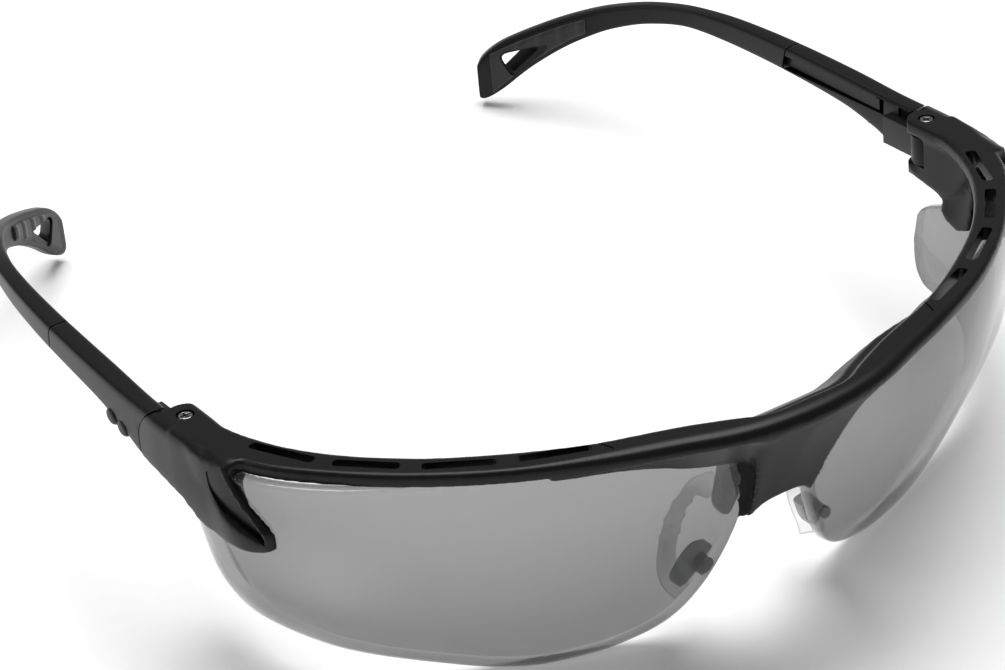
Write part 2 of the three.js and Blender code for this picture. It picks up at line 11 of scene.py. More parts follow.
import bmesh
import bpy
from mathutils import Matrix, Vector


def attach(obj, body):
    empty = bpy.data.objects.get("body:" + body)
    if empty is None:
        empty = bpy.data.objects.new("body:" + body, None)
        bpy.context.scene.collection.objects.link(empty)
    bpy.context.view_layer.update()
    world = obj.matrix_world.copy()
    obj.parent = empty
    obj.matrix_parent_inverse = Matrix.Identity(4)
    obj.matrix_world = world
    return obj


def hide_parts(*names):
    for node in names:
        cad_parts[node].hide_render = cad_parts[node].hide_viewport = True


bl_info = {
    "name": "Safety Glasses Studio",
    "version": (1, 0, 0),
    "blender": (4, 5, 0),
    "location": "View3D > Sidebar > Glasses",
    "description": "Builds the finished pieces of a pair of folding safety glasses around their CAD frame",
    "category": "Object",
}

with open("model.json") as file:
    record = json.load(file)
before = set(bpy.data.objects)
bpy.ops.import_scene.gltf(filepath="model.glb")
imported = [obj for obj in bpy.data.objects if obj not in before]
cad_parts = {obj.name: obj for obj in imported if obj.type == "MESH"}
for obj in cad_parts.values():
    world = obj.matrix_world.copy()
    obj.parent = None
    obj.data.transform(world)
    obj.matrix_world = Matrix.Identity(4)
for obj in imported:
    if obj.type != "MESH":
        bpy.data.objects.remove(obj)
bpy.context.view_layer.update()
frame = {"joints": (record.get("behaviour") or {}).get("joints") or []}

MM = 0.001
FOLD = next(joint for joint in frame["joints"] if joint["name"] == "temple_fold_left")
HINGE = Vector(FOLD["pos_m"]) / MM
HINGE_X = round(HINGE.x, 3)
HINGE_DEPTH = 5.0
UP = Vector(FOLD["axis"])
TILT = math.atan2(UP.y, UP.z)
HINGE_TOP = HINGE + UP * HINGE_DEPTH
TO_ROW = (
    Matrix.Scale(MM, 4)
    @ Matrix.Translation((0.0, HINGE_TOP.y, HINGE_TOP.z))
    @ Matrix.Rotation(-TILT, 4, "X")
)
SIDES = (("left", 1), ("right", -1))


# ---------------------------------------------------------------- sizes and colours
class GlassesSizes(bpy.types.PropertyGroup):
    """Sizes of the finished pieces, in millimetres"""

    lens_wall: bpy.props.FloatProperty(name="Lens wall", description="Thickness of the lens", default=2.2)
    slot_width: bpy.props.FloatProperty(name="Vent width", description="Width of each brow vent", default=1.7)
    voxel: bpy.props.FloatProperty(
        name="Moulding grain", description="Edge softness of the moulded frame", default=0.42
    )


class GlassesColours(bpy.types.PropertyGroup):
    """sRGB colours of the finishes"""

    nylon: bpy.props.StringProperty(name="Nylon", description="Black moulded nylon", default="090909")
    lens: bpy.props.StringProperty(name="Lens", description="Tint of the lens", default="3C3D3D")
    smoke: bpy.props.StringProperty(name="Smoke", description="Smoky nose parts", default="454546")
    silicone: bpy.props.StringProperty(name="Loops", description="Clear soft nose loops", default="8C8F8E")
    rubber: bpy.props.StringProperty(name="Grip", description="Soft-touch ear grips", default="131314")
    steel: bpy.props.StringProperty(name="Steel", description="Plated hinge screws", default="96989A")
    brass: bpy.props.StringProperty(name="Brass", description="Hinge inserts", default="B5904E")
    floor: bpy.props.StringProperty(name="Floor", description="Studio table", default="FFFFFF")


# The lens's front is part of an ellipsoid with these half axes, standing round this depth
LENS_AXES = Vector((71.6, 41.0, 66.4))
LENS_CENTRE_Y = -7.4
LENS_TOP = -2.4
LENS_REACH = 102.0

# How far a side outline is pushed so that it passes right through one end of the frame or one temple
SIDE_SPAN = (50, 90)
HOOK_SPAN = (70, 110)
EAR_RADIUS = 3.1
EAR_GAP = (-7.6, -2.2)


# ---------------------------------------------------------------- curves
def ramp(pairs):
    """A smooth value through [place, value] pairs that never swings past them"""
    places = [p for p, _ in pairs]
    values = [v for _, v in pairs]
    steps = [(values[i + 1] - values[i]) / (places[i + 1] - places[i]) for i in range(len(pairs) - 1)]
    slopes = [steps[0]]
    for before, after in zip(steps, steps[1:]):
        same_way = before * after > 0
        slopes.append(2 * before * after / (before + after) if same_way else 0.0)
    slopes.append(steps[-1])

    def value(place):
        i = 0
        while i < len(pairs) - 2 and place > places[i + 1]:
            i += 1
        width = places[i + 1] - places[i]
        t = min(max((place - places[i]) / width, 0.0), 1.0)
        start = (2 * t**3 - 3 * t**2 + 1) * values[i] + (t**3 - 2 * t**2 + t) * width * slopes[i]
        return start + (3 * t**2 - 2 * t**3) * values[i + 1] + (t**3 - t**2) * width * slopes[i + 1]

    return value


def spline(points):
    """A Catmull-Rom path through points, read from 0 to 1 by distance"""
    reach = [0.0]
    for a, b in zip(points, points[1:]):
        reach.append(reach[-1] + math.dist(a, b))
    reach = [r / reach[-1] for r in reach]
    ends = [tuple(2 * a - b for a, b in zip(points[0], points[1]))]
    ends += list(points) + [tuple(2 * a - b for a, b in zip(points[-1], points[-2]))]

    def at(t):
        i = 0
        while i < len(points) - 2 and t > reach[i + 1]:
            i += 1
        s = (t - reach[i]) / (reach[i + 1] - reach[i])
        four = zip(*ends[i : i + 4])
        return tuple(
            0.5 * (2 * b + (c - a) * s + (2 * a - 5 * b + 4 * c - d) * s**2 + (3 * b - a - 3 * c + d) * s**3)
            for a, b, c, d in four
        )

    return at


def spread(first, last, count):
    return [first + (last - first) * i / (count - 1) for i in range(count)]


def lens_y(x, z, offset=0.0):
    """Depth of the lens's front surface, or of a surface that stands `offset` proud of it"""
    half, deep, high = (axis + offset for axis in LENS_AXES)
    return LENS_CENTRE_Y - deep * math.sqrt(max(1 - (x / half) ** 2 - (z / high) ** 2, 0.0))


def lens_x(y, z, offset=0.0):
    half, deep, high = (axis + offset for axis in LENS_AXES)
    return half * math.sqrt(max(1 - ((y - LENS_CENTRE_Y) / deep) ** 2 - (z / high) ** 2, 0.0))


def lens_point(angle, z, offset=0.0):
    half, deep, high = (axis + offset for axis in LENS_AXES)
    k = math.sqrt(max(1 - (z / high) ** 2, 0.0))
    return Vector((half * k * math.sin(angle), LENS_CENTRE_Y - deep * k * math.cos(angle), z))


# ---------------------------------------------------------------- mesh work
def loft(mesh, sections, mirrored=False):
    """Extrudes one closed ring through every section and caps both ends"""
    flip = Vector((-1, 1, 1)) if mirrored else Vector((1, 1, 1))
    sections = [[Vector(p) * flip for p in section] for section in sections]
    ring = [mesh.verts.new(p) for p in sections[0]]
    edges = [mesh.edges.new((ring[i - 1], ring[i])) for i in range(len(ring))]
    first = list(edges)
    made = list(ring)
    for section in sections[1:]:
        grown = bmesh.ops.extrude_edge_only(mesh, edges=edges)["geom"]
        fresh = {item for item in grown if isinstance(item, bmesh.types.BMVert)}
        ring = [next(e.other_vert(v) for e in v.link_edges if e.other_vert(v) in fresh) for v in ring]
        for vert, place in zip(ring, section):
            vert.co = place
        edges = [e for e in grown if isinstance(e, bmesh.types.BMEdge) and fresh.issuperset(e.verts)]
        made += ring
    bmesh.ops.contextual_create(mesh, geom=first)
    bmesh.ops.contextual_create(mesh, geom=edges)
    faces = list({face for vert in made for face in vert.link_faces})
    bmesh.ops.recalc_face_normals(mesh, faces=faces)
    return made


def prism(mesh, outline, direction, mirrored=False):
    """A closed outline pushed along one direction"""
    push = Vector(direction)
    return loft(mesh, [[Vector(p) for p in outline], [Vector(p) + push for p in outline]], mirrored)


def side_prism(mesh, outline, x0, x1, mirrored=False):
    return prism(mesh, [(x0, y, z) for y, z in outline], (x1 - x0, 0, 0), mirrored)


def plan_prism(mesh, outline, z0, z1, mirrored=False):
    return prism(mesh, [(x, y, z0) for x, y in outline], (0, 0, z1 - z0), mirrored)


def front_prism(mesh, outline, y0, y1, mirrored=False):
    return prism(mesh, [(x, y0, z) for x, z in outline], (0, y1 - y0, 0), mirrored)


def block(mesh, low, high, mirrored=False):
    corners = [(low[0], low[1]), (high[0], low[1]), (high[0], high[1]), (low[0], high[1])]
    return plan_prism(mesh, corners, low[2], high[2], mirrored)


def drum(mesh, centre, radius, low, high, mirrored=False, segments=48, taper=0.0):
    """An upright round boss; taper chamfers its top rim"""

    def ring(r, z):
        turn = [2 * math.pi * k / segments for k in range(segments)]
        return [(centre[0] + r * math.cos(a), centre[1] + r * math.sin(a), z) for a in turn]

    rings = [ring(radius, low), ring(radius, high - taper)]
    if taper:
        rings.append(ring(radius - taper, high))
    return loft(mesh, rings, mirrored)


def round_outline(points, reach, steps=5):
    """A polygon whose corners are rounded by short curves that start `reach` before each corner"""
    outline = []
    for i, corner in enumerate(points):
        corner = Vector(corner)
        before = Vector(points[i - 1]) - corner
        after = Vector(points[(i + 1) % len(points)]) - corner
        start = corner + before.normalized() * min(reach, before.length * 0.49)
        end = corner + after.normalized() * min(reach, after.length * 0.49)
        for t in spread(0.0, 1.0, steps):
            outline.append(tuple(start * (1 - t) ** 2 + corner * 2 * t * (1 - t) + end * t**2))
    return outline


def thing(name, mesh):
    data = bpy.data.meshes.new(name)
    mesh.to_mesh(data)
    mesh.free()
    made = bpy.data.objects.new(name, data)
    bpy.context.scene.collection.objects.link(made)
    return made


def shape(name, *builders):
    """A new object whose mesh is made by the builders in turn"""
    mesh = bmesh.new()
    for build in builders:
        build(mesh)
    return thing(name, mesh)


def settle(piece):
    """Makes the modifiers' result the piece's own mesh"""
    bpy.context.view_layer.update()
    graph = bpy.context.evaluated_depsgraph_get()
    data = bpy.data.meshes.new_from_object(piece.evaluated_get(graph))
    old = piece.data
    piece.modifiers.clear()
    piece.data = data
    bpy.data.meshes.remove(old)


def carve(piece, tool, operation="DIFFERENCE"):
    cutter = piece.modifiers.new("carve", "BOOLEAN")
    cutter.operation = operation
    cutter.solver = "EXACT"
    cutter.object = tool
    cutter.use_self = True
    settle(piece)
    bpy.data.objects.remove(tool)


def mould(piece, voxel, rounds):
    """Fuses overlapping shells into one moulded skin with soft edges"""
    fuse = piece.modifiers.new("fuse", "REMESH")
    fuse.mode = "VOXEL"
    fuse.voxel_size = voxel
    relax = piece.modifiers.new("relax", "SMOOTH")
    relax.factor = 0.5
    relax.iterations = rounds
    settle(piece)


def finish(piece, material, body, slot, *nodes, crease=38.0):
    """Turns a piece into the row frame, gives it its finish and lets it stand for its CAD nodes"""
    piece.data.transform(TO_ROW)
    piece.data.materials.clear()
    piece.data.materials.append(material)
    for face in piece.data.polygons:
        face.use_smooth = True
        face.material_index = 0
    piece.data.set_sharp_from_angle(angle=math.radians(crease))
    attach(piece, body)
    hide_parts(*nodes)
    return piece


# ---------------------------------------------------------------- materials
def linear(code):
    """sRGB hex to linear RGBA"""
    parts = [int(code[i : i + 2], 16) / 255 for i in (0, 2, 4)]
    return tuple(c / 12.92 if c <= 0.04045 else ((c + 0.055) / 1.055) ** 2.4 for c in parts) + (1.0,)


def node(tree, kind, links=(), **settings):
    """Adds a node; links pair an input name with an output socket"""
    made = tree.nodes.new(kind)
    for key, value in settings.items():
        if key in made.inputs:
            made.inputs[key].default_value = value
        else:
            setattr(made, key, value)
    for name, source in links:
        tree.links.new(source, made.inputs[name])
    return made


def ranged(tree, source, **ends):
    """A value moved from 0..1, or from the ends given, to another range"""
    settings = {key.replace("_", " "): value for key, value in ends.items()}
    return node(tree, "ShaderNodeMapRange", [("Value", source)], **settings).outputs["Result"]


def surface(name, **settings):
    """A material with one Principled shader; returns it with its tree, shader and object coordinates"""
    made = bpy.data.materials.new(name)
    made.use_nodes = True
    tree = made.node_tree
    shader = tree.nodes["Principled BSDF"]
    for key, value in settings.items():
        shader.inputs[key.replace("_", " ")].default_value = value
    where = node(tree, "ShaderNodeTexCoord").outputs["Object"]
    return made, tree, shader, where


def grain(tree, shader, where, size_mm, depth, rough, strength=0.25):
    """Fine spark-eroded mould grain: a small bump and a little variation of gloss"""
    fine = node(tree, "ShaderNodeTexNoise", [("Vector", where)], Scale=1 / (size_mm * MM), Detail=3.0)
    broad = node(tree, "ShaderNodeTexNoise", [("Vector", where)], Scale=90.0, Detail=2.0)
    gloss = ranged(tree, broad.outputs["Fac"], To_Min=rough - 0.04, To_Max=rough + 0.04)
    tree.links.new(gloss, shader.inputs["Roughness"])
    height = [("Height", fine.outputs["Fac"])]
    bump = node(tree, "ShaderNodeBump", height, Strength=strength, Distance=depth * MM)
    tree.links.new(bump.outputs["Normal"], shader.inputs["Normal"])


def black_nylon():
    """Glass-filled nylon from a finely eroded mould: near black, satin on every rounded edge"""
    made, tree, shader, where = surface("black moulded nylon", IOR=1.53, Specular_IOR_Level=0.22)
    tone = node(tree, "ShaderNodeTexNoise", [("Vector", where)], Scale=60.0, Detail=2.0)
    colour = linear(bpy.context.scene.glasses_colours.nylon)
    mix = node(tree, "ShaderNodeValToRGB", [("Fac", tone.outputs["Fac"])])
    mix.color_ramp.elements[0].color = tuple(c * 0.85 for c in colour[:3]) + (1.0,)
    mix.color_ramp.elements[1].color = tuple(c * 1.15 for c in colour[:3]) + (1.0,)
    tree.links.new(mix.outputs["Color"], shader.inputs["Base Color"])
    grain(tree, shader, where, 0.35, 0.012, 0.36)
    return made


def tinted_lens():
    """Grey polycarbonate with a light mirror coat: the table shows through, half as bright"""
    made, tree, shader, where = surface("tinted polycarbonate", IOR=1.586, Roughness=0.04, Metallic=0.35)
    shader.inputs["Base Color"].default_value = linear(bpy.context.scene.glasses_colours.lens)
    slant = node(tree, "ShaderNodeLayerWeight", Blend=0.4)
    body = ranged(tree, slant.outputs["Facing"], To_Min=0.43, To_Max=0.8)
    tree.links.new(body, shader.inputs["Alpha"])
    shader.inputs["Coat Weight"].default_value = 0.6
    shader.inputs["Coat Roughness"].default_value = 0.03
    haze = node(tree, "ShaderNodeTexNoise", [("Vector", where)], Scale=35.0, Detail=2.0)
    soft = ranged(tree, haze.outputs["Fac"], To_Min=0.03, To_Max=0.06)
    tree.links.new(soft, shader.inputs["Roughness"])
    return made


def smoky_plastic():
    """Polished smoke-grey plastic that lets a little light through at its edges"""
    made, tree, shader, where = surface("smoky plastic", IOR=1.5, Alpha=0.6)
    shader.inputs["Base Color"].default_value = linear(bpy.context.scene.glasses_colours.smoke)
    grain(tree, shader, where, 0.8, 0.004, 0.2, 0.08)
    return made


def bracket_plastic():
    """The same smoky plastic, thin and pale where the bracket's upper plate lies against the bridge"""
    made, tree, shader, where = surface("smoky bracket plastic", IOR=1.5)
    shader.inputs["Base Color"].default_value = linear(bpy.context.scene.glasses_colours.smoke)
    height = node(tree, "ShaderNodeSeparateXYZ", [("Vector", where)])
    body = ranged(tree, height.outputs["Z"], From_Min=0.0285, From_Max=0.0305, To_Min=0.62, To_Max=0.3)
    tree.links.new(body, shader.inputs["Alpha"])
    grain(tree, shader, where, 0.8, 0.004, 0.2, 0.08)
    return made


def clear_silicone():
    """Clear soft elastomer: pale and see-through face on, darker where the wall is seen edge on"""
    made, tree, shader, where = surface("clear soft elastomer", IOR=1.41)
    shader.inputs["Base Color"].default_value = linear(bpy.context.scene.glasses_colours.silicone)
    edge = node(tree, "ShaderNodeLayerWeight", Blend=0.25)
    body = ranged(tree, edge.outputs["Facing"], To_Min=0.06, To_Max=0.95)
    tree.links.new(body, shader.inputs["Alpha"])
    grain(tree, shader, where, 1.2, 0.004, 0.22, 0.08)
    return made


def soft_touch():
    """Overmoulded soft-touch rubber: charcoal, with almost no gloss"""
    made, tree, shader, where = surface("soft-touch rubber", IOR=1.5)
    shader.inputs["Base Color"].default_value = linear(bpy.context.scene.glasses_colours.rubber)
    shader.inputs["Sheen Weight"].default_value = 0.25
    shader.inputs["Sheen Roughness"].default_value = 0.5
    grain(tree, shader, where, 0.3, 0.02, 0.62)
    return made


def plated_steel():
    """Bright nickel-plated steel, lightly brushed by the driver"""
    made, tree, shader, where = surface("nickel-plated steel", Metallic=1.0)
    shader.inputs["Base Color"].default_value = linear(bpy.context.scene.glasses_colours.steel)
    grain(tree, shader, where, 0.15, 0.01, 0.26)
    return made


def turned_brass():
    """Turned brass, dulled inside the hinge"""
    made, tree, shader, where = surface("turned brass", Metallic=1.0)
    shader.inputs["Base Color"].default_value = linear(bpy.context.scene.glasses_colours.brass)
    grain(tree, shader, where, 0.2, 0.01, 0.34)
    return made


# ---------------------------------------------------------------- front frame
# The brow plate's rear edge and front ridge, from the middle out, as x, y
REAR_RAIL = [(0, -55.2), (5, -55.2), (8, -54.5), (10.8, -52.9), (13.4, -51.6), (17, -49.9), (21, -48.3),
             (29.8, -44.9), (39.6, -39.3), (49.4, -32.1), (57, -24), (61.8, -16.5), (64.8, -8.4), (65.6, -2)]
RIDGE_RAIL = [(0, -58.9), (11, -57.6), (21.5, -53.6), (32, -49.2), (42.5, -43.7), (53, -35.7), (61.8, -26.6),
              (67.5, -18.6), (71, -9), (72.2, -2)]
# The middle line of each vent slot, as x, y at its outer and inner end
SLOTS = [(65.3, -13.6, 60.8, -23.2), (59.2, -25.5, 52.7, -32.6), (50.6, -34.7, 42.2, -40.6),
         (39.7, -42, 30.3, -46.2)]


def both_ways(points):
    """A path given for one side, run right across both"""
    return [(-x, y) for x, y in reversed(points[1:])] + list(points)


REAR = spline(both_ways(REAR_RAIL))
RIDGE = spline(both_ways(RIDGE_RAIL))


def brow_bar(mesh):
    """The top plate: a big soft roll over the bridge, a crisp small one outboard"""
    roll_at = ramp([(0, 2.0), (0.26, 1.7), (0.4, 0.8), (0.46, 0.55), (1, 0.5)])
    deep_at = ramp([(0, 2.4), (0.4, 2.2), (1, 2.1)])
    sections = []
    for place in spread(0.0, 1.0, 161):
        rear = Vector(REAR(place))
        ridge = Vector(RIDGE(place))
        inward = (rear - ridge).normalized()
        side = abs(2 * place - 1)
        roll, deep = roll_at(side), deep_at(side)
        ring = [(rear.x, rear.y, -deep), (rear.x, rear.y, -0.5), (*(rear - inward * 0.5), 0.0)]
        for turn in spread(0.0, math.pi / 2, 5):
            crown = ridge + inward * roll * (1 - math.sin(turn))
            ring.append((*crown, -roll * (1 - math.cos(turn)) * 0.85))
        ring.append((*(ridge + inward * 0.1), -deep))
        sections.append(ring)
    loft(mesh, sections)


# The lip's lower edge as x, z, and above each of its points the x where the lip leaves the brow plate
LIP_TOP = [0, 5, 8, 9.5, 10.5, 11.5, 13, 15.5, 19, 24, 31.5, 37]
LIP_EDGE = [(0, -18.9), (3.6, -19.5), (5.8, -21.5), (5.9, -18.2), (5.7, -14.6), (6.3, -11.4), (8.5, -9.5),
            (12, -8.6), (17, -7.3), (22, -5.5), (29, -3.9), (37, -3.1)]
LIP_FLARE = [(0, 0.0), (0.1, 0.3), (0.2, 0.7), (0.4, 0.8), (0.62, 0.5), (0.8, 0.2), (1, 0.0)]


def lip_and_bridge(mesh):
    """The lip over the lens inboard, which grows down into the bridge"""
    at = [i / (len(LIP_TOP) - 1) for i in range(len(LIP_TOP))]
    top_x = ramp(list(zip(at, LIP_TOP)))
    edge_x = ramp([(t, p[0]) for t, p in zip(at, LIP_EDGE)])
    edge_z = ramp([(t, p[1]) for t, p in zip(at, LIP_EDGE)])
    ridge_y = ramp(RIDGE_RAIL)
    rear_y = ramp(REAR_RAIL)
    flare_at = ramp(LIP_FLARE)
    proud = ramp([(3, 3.4), (12, 2.9), (21.5, 1.6)])
    sections = []
    for place in spread(-1.0, 1.0, 141):
        side = abs(place)
        sign = math.copysign(1, place)
        front, back = [], []
        for v in spread(0.0, 1.0, 15):
            x = top_x(side) + (edge_x(side) - top_x(side)) * v**1.2
            z = -1.5 + (edge_z(side) + 1.5) * v
            crest = ridge_y(x)
            lip = lens_y(edge_x(side), edge_z(side), proud(-edge_z(side)))
            ease = max((v - 0.06) / 0.94, 0.0) ** 0.78
            y = crest + (lip - crest) * ease
            front.append((x * sign, y, z))
            wide = x + flare_at(side) * v
            deep = min(lens_y(wide, z, -0.5), rear_y(x) - 0.4 - 1.6 * z)
            back.append((wide * sign, max(deep, y + 0.5), z - 0.5 * v))
        rim = front[-1]
        sections.append(front + [(rim[0], (rim[1] + back[-1][1]) / 2, rim[2] - 0.25)] + back[::-1])
    loft(mesh, sections)


# The endpiece's lower edge, outer wall and inner wall along Y
WALL_BOTTOM = ramp([(-16, -2.6), (-14, -3.9), (-12, -6.4), (-9.5, -9.6), (-8, -10.8), (-5.6, -11.7),
                    (-2, -11.2), (2, -10.5), (5, -10.3), (9, -9.8)])
WALL_OUT = ramp([(-24, 66.2), (-22, 67.6), (-20.5, 68.5), (-19.3, 69.1), (-16.3, 70.5), (-13.9, 71.2),
                 (-11.2, 71.5), (-9, 71.75), (-5, 72.1), (-2, 72.25), (2, 72.25), (9, 71.9)])
WALL_IN = ramp([(-16, 65.2), (-9, 65.4), (-2, 65.2), (9, 65.2)])


def endpiece(mesh, mirrored):
    """The block that carries the hinge ears, with its rounded outer wall"""
    sections = []
    for y in spread(-16.0, 9.0, 40):
        out, inner, low = WALL_OUT(y) - 0.5, WALL_IN(y), WALL_BOTTOM(y) + 0.5
        inner = max(inner, out - 7)
        sections.append([
            (inner, y, -0.3), (inner + 0.4, y, 0), (out - 1.2, y, 0), (out - 0.45, y, -0.2),
            (out - 0.08, y, -0.9), (out, y, low * 0.3), (out - 0.05, y, low * 0.6),
            (out - 0.5, y, low + 1.4), (out - 1.3, y, low + 0.3), (out - 2.2, y, low),
            (inner + 0.9, y, low), (inner + 0.5, y, low + 0.4), (inner + 0.5, y, -2.3), (inner, y, -2.1),
        ])
    loft(mesh, sections, mirrored)


def claw_sheet(mesh, outer_face, mirrored, inside=-0.25):
    """A sheet over the end of the lens, let into it a little, out to `outer_face(y, z)`"""
    sections = []
    heights = spread(-17.0, -0.4, 36)
    for y in spread(-24.0, 9.0, 72):
        inner = [max(lens_x(y, z, inside), WALL_OUT(y) - 2.2) for z in heights]
        outer = [(max(outer_face(y, z), low + 0.35), y, z) for z, low in zip(heights, inner)]
        sections.append(outer + [(low, y, z) for z, low in zip(reversed(heights), reversed(inner))])
    loft(mesh, sections, mirrored)


def wall_face(y, z):
    """The endpiece's outer wall, carried on over the claw with a slight bulge in height"""
    lift = 0.35 * max(1 - abs(y + 16) / 6, 0.0)
    return WALL_OUT(y) + lift - 0.02 * max(-z - 7.5, 0.0) ** 2 - 0.12 * max(z + 1.6, 0.0) ** 2


def recess_floor(y, z):
    return lens_x(y, z, 0.45)


# The claw's outline seen from the side, as y, z: inner edge, tip, bottom, and the pocket's rear edge
CLAW_INNER_EDGE = [(-15.4, -0.6), (-15.7, -1.4), (-16.4, -3.2), (-17.7, -5.7), (-19.2, -8.3), (-20.3, -10.4)]
CLAW_TIP = [(-20.6, -12.0), (-20.4, -13.4), (-18.8, -14.2)]
CLAW_BOTTOM = [(-16.3, -14.5), (-12.6, -14.4), (-9, -14.2), (-6.6, -13.7), (-5.3, -12.9), (-5.9, -12.2),
               (-5.0, -12.3), (-3.9, -11.7), (-3.9, -10.9)]
WALL_LOWER = [(-2, -10.6), (2, -9.8), (5, -9.4), (8.8, -9.0)]
RECESS_EDGE = [(-11.4, -2.8), (-11.5, -5.4), (-13.4, -8.0), (-16, -10.0), (-18.2, -11.4), (-19.9, -12.6)]
CLAMP_OUTLINE = [(2, -8.2), (-1.5, -9.9), (-5.3, -12.2), (-4.8, -13.6), (-6.5, -15.2), (-9, -16.0),
                 (-12.5, -14.8), (-13, -12), (-13, -5), (2, -5)]


def cut_to(outline, build, mirrored):
    """What `build` makes, kept only inside an outline seen from the side"""
    piece = shape("blank", build)
    keep = shape("outline", lambda mesh: side_prism(mesh, outline, *SIDE_SPAN, mirrored))
    carve(piece, keep, "INTERSECT")
    return piece


def claw(outer_face, outline, mirrored):
    return cut_to(outline, lambda mesh: claw_sheet(mesh, outer_face, mirrored), mirrored)


def clamp_plate(mirrored):
    """The plate that backs the lens's rear upper corner on the inside"""

    def build(mesh):
        sections = []
        heights = spread(-16.5, -4.0, 24)
        for y in spread(-14.0, 2.4, 30):
            outer = [(lens_x(y, z, -2.3), y, z) for z in heights]
            sections.append(outer + [(lens_x(y, z, -3.9), y, z) for z in reversed(heights)])
        loft(mesh, sections, mirrored)

    return cut_to(CLAMP_OUTLINE, build, mirrored)


def sampled(points, count):
    """Points spaced along a smooth path"""
    path = spline(points)
    return [path(t) for t in spread(0.0, 1.0, count)]


def inside_rim(edge):
    """The inner line of the raised rim that follows the claw's edge"""
    return [(y + 0.75, z - 0.1) for y, z in reversed(edge)]


def claw_pieces(mirrored):
    edge = sampled(CLAW_INNER_EDGE, 14)
    bottom = sampled(CLAW_BOTTOM, 24)
    whole = edge + CLAW_TIP + bottom + [(-2, -10.4), (-2, -0.6)]
    wall_top = [(8.8, -0.2), (-8, -0.2), (-12.2, -1.0)]
    raised = sampled(RECESS_EDGE, 14) + CLAW_TIP[1:] + bottom + WALL_LOWER + wall_top
    rim = edge + [CLAW_TIP[0], (-20.1, -12.8)] + inside_rim(edge)
    return [
        claw(recess_floor, whole, mirrored),
        claw(wall_face, raised, mirrored),
        claw(wall_face, rim, mirrored),
        clamp_plate(mirrored),
    ]


def recess_cutter(mirrored):
    """The sunk pocket along the claw's inner edge, down to just above the lens"""
    outline = sampled(RECESS_EDGE, 14) + inside_rim(sampled(CLAW_INNER_EDGE, 14))

    def build(mesh):
        claw_sheet(mesh, lambda y, z: lens_x(y, z, 6), mirrored, inside=0.3)

    return cut_to(outline, build, mirrored)


def slot_outline(ends, width):
    start, end = Vector(ends[:2]), Vector(ends[2:])
    along = (end - start).normalized()
    across = Vector((-along.y, along.x)) * (width / 2)
    corners = [start + across, start - across, end - across, end + across]
    return round_outline([tuple(c) for c in corners], width * 0.42)


def build_front(context):
    """Moulds the brow, bridge, endpieces and claws as one, then cuts its openings"""
    sizes = context.scene.glasses_sizes
    piece = shape("front_frame", brow_bar, lip_and_bridge)
    for _, sign in SIDES:
        mirrored = sign < 0
        parts = [shape("end", lambda mesh: endpiece(mesh, mirrored))] + claw_pieces(mirrored)
        for part in parts:
            joined = bmesh.new()
            joined.from_mesh(piece.data)
            joined.from_mesh(part.data)
            joined.to_mesh(piece.data)
            joined.free()
            bpy.data.objects.remove(part)
    mould(piece, sizes.voxel, 6)

    def openings(mesh):
        for _, sign in SIDES:
            flip = sign < 0
            for ends in SLOTS:
                plan_prism(mesh, slot_outline(ends, sizes.slot_width), -14, 3, flip)

    carve(piece, shape("slots", openings))
    for _, sign in SIDES:
        carve(piece, recess_cutter(sign < 0))

    def seams(mesh):
        for _, sign in SIDES:
            flip = sign < 0
            plan_prism(mesh, [(29.4, -44), (29.7, -44), (28.4, -48.6), (28.1, -48.6)], -0.3, 2, flip)

    carve(piece, shape("seams", seams))

    def hinge_room(mesh):
        for _, sign in SIDES:
            flip = sign < 0
            drum(mesh, (HINGE_X, 0), 2.95, *EAR_GAP, flip)
            block(mesh, (60, 0, EAR_GAP[0]), (70.6, 14, EAR_GAP[1]), flip)

    carve(piece, shape("hinge room", hinge_room))

    def ear_round(mesh):
        for _, sign in SIDES:
            turns = spread(math.pi, 0.35 * math.pi, 16)
            arc = [(HINGE_X + EAR_RADIUS * math.cos(a), EAR_RADIUS * math.sin(a)) for a in turns]
            outline = arc + [(70.75, 3.2), (70.75, 14), (60, 14), (60, 0)]
            plan_prism(mesh, outline, -14, 2, sign < 0)

    carve(piece, shape("ear round", ear_round))

    def seam_arc(mesh):
        arc = sampled([(2.2, 1), (5.4, -1.6), (7.4, -4.2), (7.9, -7), (7.2, -12)], 14)
        for _, sign in SIDES:
            side_prism(mesh, arc + [(20, -12), (20, 1)], 60, 80, sign < 0)

    carve(piece, shape("seam arc", seam_arc))

    def screw_room(mesh):
        for _, sign in SIDES:
            drum(mesh, (HINGE_X, 0), 1.36, -1.3, 3, sign < 0)

    carve(piece, shape("screw room", screw_room))
    return finish(piece, once(black_nylon), "front", "nylon", "frame_front")


_finishes = {}


def once(make):
    """The finish that `make` gives, made only the first time it is asked for"""
    if make.__name__ not in _finishes:
        _finishes[make.__name__] = make()
    return _finishes[make.__name__]


# ---------------------------------------------------------------- lens
# The lens's lower and upper edge as z, by degrees round from the middle
LENS_BOTTOM = ramp([(0, -15), (4.2, -15.4), (5.0, -20.4), (8.0, -29), (10.6, -33.7), (13.3, -36.9),
                    (16.2, -38.9), (20, -40.2), (26.8, -41.4), (35.5, -41.6), (43.8, -40.4), (51.7, -38.2),
                    (59.9, -35.6), (68.7, -32.9), (79.4, -30.4), (90, -29.0), (96.2, -27.8),
                    (99.2, -26), (101, -23.6), (LENS_REACH, -20.8)])
LENS_UPPER = ramp([(0, -9), (6.5, -8.8), (9.7, -7.8), (13.8, -6.6), (18, -4.8), (23.9, -3.2),
                   (27.5, LENS_TOP), (78, LENS_TOP), (82.7, -6), (87, -11.2), (92.7, -14.1), (99, -15.2),
                   (101.4, -15.8), (LENS_REACH, -16.4)])


